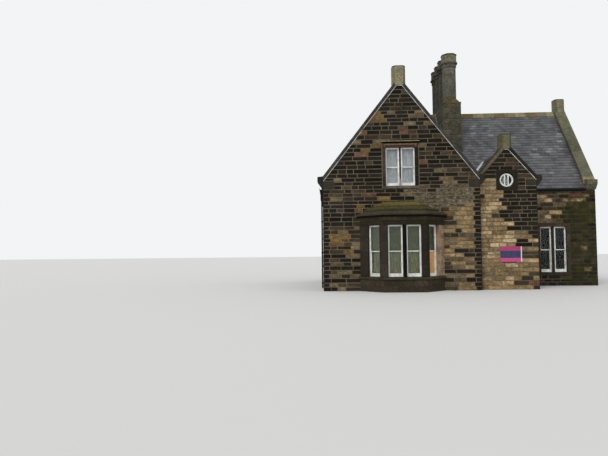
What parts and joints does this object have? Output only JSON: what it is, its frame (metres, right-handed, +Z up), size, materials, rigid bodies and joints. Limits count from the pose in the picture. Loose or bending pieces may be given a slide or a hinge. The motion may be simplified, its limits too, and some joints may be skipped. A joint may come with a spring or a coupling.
{
  "type": "railway station building",
  "caption": "Two-storey stone station house with steep slated gables, a canted bay window, a small gabled stair bay and a row of octagonal chimneys.",
  "frame": {"origin": "centre of the footprint's bounding box, at ground level", "axes": "+X to the right along the platform front, +Y away from the platform, +Z up"},
  "size_m": [14.29, 10.89, 12.84],
  "materials": {
    "rubble_stone": "coursed hammer-dressed sandstone, soot-blackened, light joints",
    "dressed_stone": "tooled sandstone ashlar, weathered dark",
    "lintel_stone": "reddish-brown tooled sandstone",
    "coping_stone": "tooled sandstone, mossy and lichened",
    "chimney_stone": "tooled sandstone, sooty",
    "bay_roof_stone": "sandstone slabs with yellow-green moss",
    "slate": "riven slate in even courses",
    "ridge_stone": "sawn sandstone ridge, mossy",
    "floor_timber": "plain boards",
    "floor_stone": "stone flags",
    "white_paint": "white gloss paint on timber, weathered",
    "window_glass": "clear old glass",
    "plywood": "bare sheathing ply",
    "black_iron": "black gloss paint",
    "door_paint": "red gloss paint on boards",
    "board_paint": "bare purple-red sheet"
  },
  "bodies": {
    "root": {"main_front_wall": "rubble_stone", "main_left_wall": "rubble_stone", "main_rear_wall": "rubble_stone", "spine_wall": "rubble_stone", "range_front_wall": "rubble_stone", "range_gable_wall": "rubble_stone", "range_rear_wall": "rubble_stone", "stair_bay_walls": "rubble_stone", "stair_bay_beam": "dressed_stone", "ground_floor": "floor_stone", "upper_floor": "floor_timber", "main_roof": "slate", "range_roof": "slate", "stair_bay_roof": "slate", "ridge_stones": "ridge_stone", "main_copings": "coping_stone", "range_gable_coping": "coping_stone", "stair_bay_coping": "coping_stone", "kneelers": "coping_stone", "finials": "coping_stone", "chimney_breast": "chimney_stone", "chimney_shafts": "chimney_stone", "bay_dwarf_wall": "dressed_stone", "bay_sill": "dressed_stone", "bay_posts": "dressed_stone", "bay_entablature": "dressed_stone", "bay_roof": "bay_roof_stone", "bay_sashes": "white_paint", "bay_glass": "window_glass", "bay_boarding": "plywood", "upper_sashes": "white_paint", "upper_glass": "window_glass", "lower_sashes": "white_paint", "lower_glass": "window_glass", "window_lintels": "lintel_stone", "window_sills": "dressed_stone", "window_mullions": "dressed_stone", "hood_mould": "dressed_stone", "round_window_surround": "dressed_stone", "round_window_frame": "white_paint", "notice_board": "board_paint", "gutters": "black_iron", "downpipes": "black_iron", "rear_door": "door_paint", "rear_door_frame": "white_paint"}
  },
  "joints": []
}
